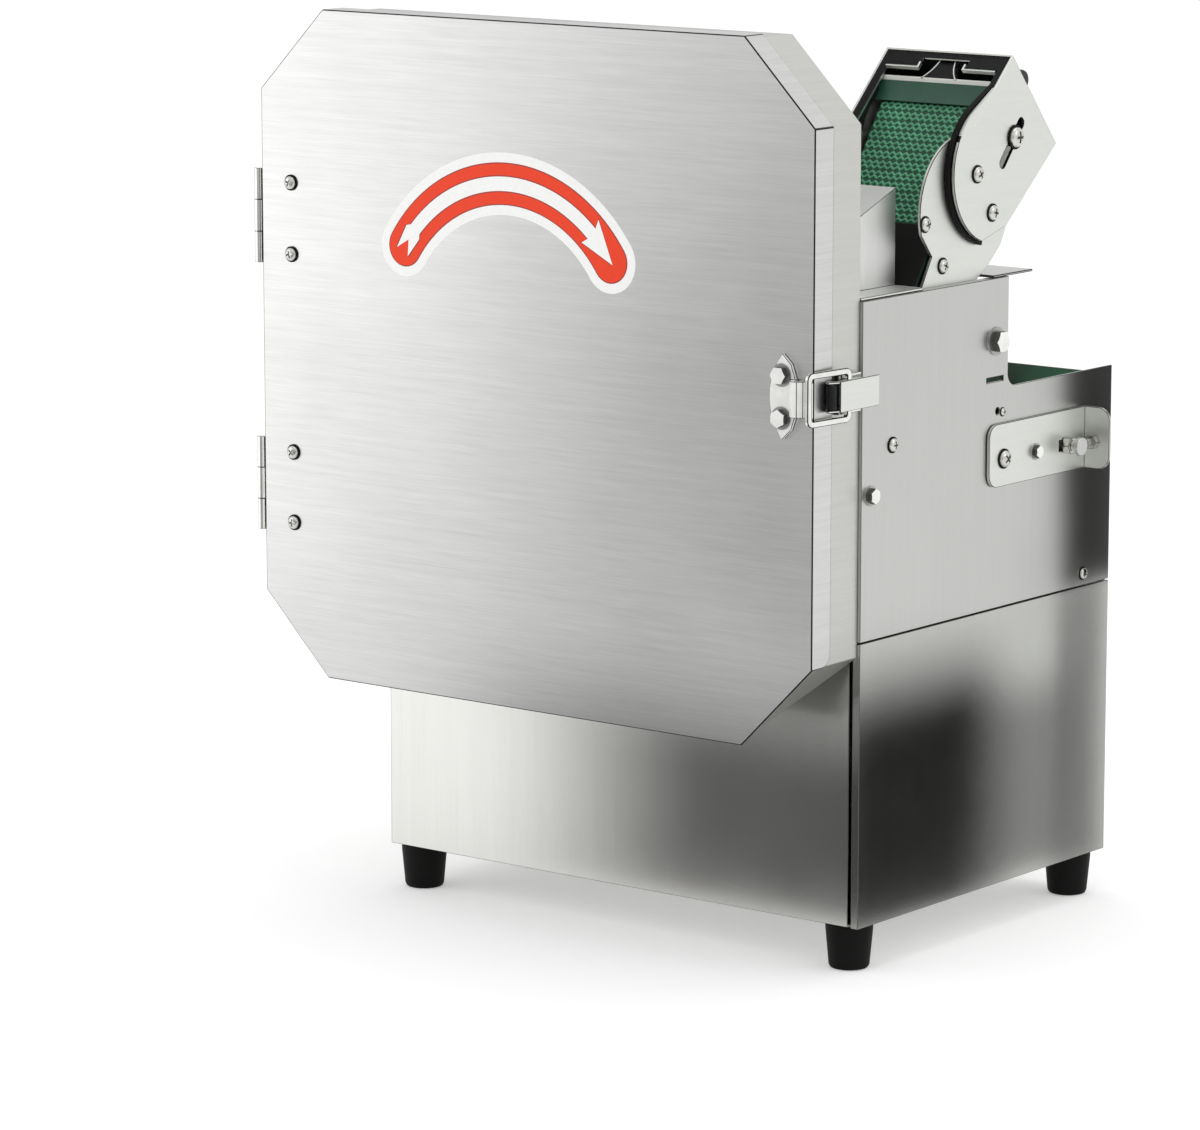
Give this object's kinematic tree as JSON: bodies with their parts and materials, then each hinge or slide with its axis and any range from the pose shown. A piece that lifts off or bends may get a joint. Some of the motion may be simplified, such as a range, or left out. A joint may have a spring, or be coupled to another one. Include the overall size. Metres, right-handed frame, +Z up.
{
  "type": "commercial food slicer",
  "caption": "Stainless belt-fed food slicer: hinged octagonal door over a disc knife, toggle latch, feed belt with inclined press belt, on a box body with rubber feet.",
  "frame": {"origin": "on the floor, under the middle of the machine's bounding box", "axes": "+Z up, -Y out of the door's front face, +X towards the latch side"},
  "size_m": [0.4378, 0.3308, 0.5409],
  "materials": {
    "brushed_stainless": "brushed",
    "folded_stainless": "mill",
    "ground_knife_steel": "ground",
    "polished_hardware": "polished",
    "green_rough_top_belt": "rough top",
    "black_rubber": "matte",
    "black_plastic": "satin",
    "white_plastic": "satin",
    "motor_paint": "satin",
    "green_button": "gloss",
    "red_button": "gloss"
  },
  "bodies": {
    "machine": {"base_tray": "folded_stainless", "body_hinge_leaf_lower": "polished_hardware", "body_hinge_leaf_upper": "polished_hardware", "cable_gland": "black_plastic", "channel_plate": "brushed_stainless", "control_plate": "black_plastic", "cutting_chamber": "brushed_stainless", "deck_plate": "folded_stainless", "drive_belt": "black_rubber", "drive_cover": "brushed_stainless", "drive_motor": "motor_paint", "feed_belt": "green_rough_top_belt", "feed_gearmotor": "motor_paint", "foot_front_left": "black_rubber", "foot_front_right": "black_rubber", "foot_rear_left": "black_rubber", "foot_rear_right": "black_rubber", "front_panel": "brushed_stainless", "guard_plate": "brushed_stainless", "knife_bearing": "brushed_stainless", "latch_base": "polished_hardware", "lower_shell": "brushed_stainless", "press_belt": "green_rough_top_belt", "press_cheek_left": "brushed_stainless", "press_cheek_right": "brushed_stainless", "press_head_frame": "brushed_stainless", "rear_sill": "brushed_stainless", "right_side_panel": "brushed_stainless", "scraper_bar": "white_plastic", "switch_block": "black_plastic", "tension_bracket": "brushed_stainless", "tension_screw": "polished_hardware", "throat_floor": "brushed_stainless", "throat_hood": "brushed_stainless"},
    "door": {"door_panel": "brushed_stainless", "door_hinge_leaf_lower": "polished_hardware", "door_hinge_leaf_upper": "polished_hardware", "latch_keeper": "polished_hardware"},
    "lever": {"latch_lever": "polished_hardware"},
    "bail": {"latch_bail": "polished_hardware"},
    "knife": {"knife_disc": "brushed_stainless", "knife_blade_1": "ground_knife_steel", "knife_blade_2": "ground_knife_steel", "knife_hub": "brushed_stainless", "knife_shaft": "polished_hardware", "knife_pulley": "polished_hardware"},
    "motor_rotor": {"motor_pulley": "polished_hardware"},
    "feed_drive": {"feed_drive_roller": "brushed_stainless", "feed_gear": "polished_hardware"},
    "feed_tail": {"feed_tail_roller": "brushed_stainless"},
    "press_drive": {"press_drive_roller": "brushed_stainless", "press_gear": "polished_hardware"},
    "press_tail": {"press_tail_roller": "brushed_stainless"},
    "start": {"start_button": "green_button"},
    "stop": {"stop_button": "red_button"},
    "speed": {"speed_knob": "black_plastic"}
  },
  "joints": [
    {"name": "door_hinge", "type": "hinge", "parent": "machine", "child": "door", "pos_m": [-0.21545, -0.1535, 0.3389], "axis": [0, 0, -1], "range_deg": [0, 150]},
    {"name": "latch_lever_hinge", "type": "hinge", "parent": "machine", "child": "lever", "pos_m": [0.20265, -0.1445, 0.3409], "axis": [0, 0, -1], "range_deg": [0, 150]},
    {"name": "latch_bail_hinge", "type": "hinge", "parent": "lever", "child": "bail", "pos_m": [0.20385, -0.1295, 0.3409], "axis": [0, 0, -1], "range_deg": [-150, 0]},
    {"name": "knife_spin", "type": "hinge", "parent": "machine", "child": "knife", "pos_m": [-0.00595, -0.1115, 0.3389], "axis": [0, 1, 0], "continuous": true},
    {"name": "motor_spin", "type": "hinge", "parent": "machine", "child": "motor_rotor", "pos_m": [-0.00595, 0.0035, 0.1249], "axis": [0, 1, 0], "continuous": true},
    {"name": "feed_drive_spin", "type": "hinge", "parent": "machine", "child": "feed_drive", "pos_m": [0.11155, -0.0615, 0.2839], "axis": [1, 0, 0], "continuous": true},
    {"name": "feed_tail_spin", "type": "hinge", "parent": "machine", "child": "feed_tail", "pos_m": [0.11155, 0.0971, 0.2839], "axis": [1, 0, 0], "continuous": true},
    {"name": "press_drive_spin", "type": "hinge", "parent": "machine", "child": "press_drive", "pos_m": [0.11505, -0.0385, 0.3589], "axis": [1, 0, 0], "continuous": true},
    {"name": "press_tail_spin", "type": "hinge", "parent": "machine", "child": "press_tail", "pos_m": [0.11505, 0.0412, 0.4719], "axis": [1, 0, 0], "continuous": true},
    {"name": "start_press", "type": "slide", "parent": "machine", "child": "start", "axis": [1, 0, 0], "range_m": [0, 0.003], "stiffness_N_per_m": 300, "springref_m": -0.001},
    {"name": "stop_press", "type": "slide", "parent": "machine", "child": "stop", "axis": [1, 0, 0], "range_m": [0, 0.003], "stiffness_N_per_m": 300, "springref_m": -0.001},
    {"name": "speed_turn", "type": "hinge", "parent": "machine", "child": "speed", "pos_m": [-0.15695, 0.0435, 0.1549], "axis": [1, 0, 0], "range_deg": [0, 270]}
  ],
  "couplings": [
    {"joint": "latch_bail_hinge", "follows": "latch_lever_hinge", "ratio": -1},
    {"joint": "motor_spin", "follows": "knife_spin", "ratio": 1.6238},
    {"joint": "feed_tail_spin", "follows": "feed_drive_spin", "ratio": 1},
    {"joint": "press_drive_spin", "follows": "feed_drive_spin", "ratio": -1},
    {"joint": "press_tail_spin", "follows": "feed_drive_spin", "ratio": -0.90814}
  ]
}
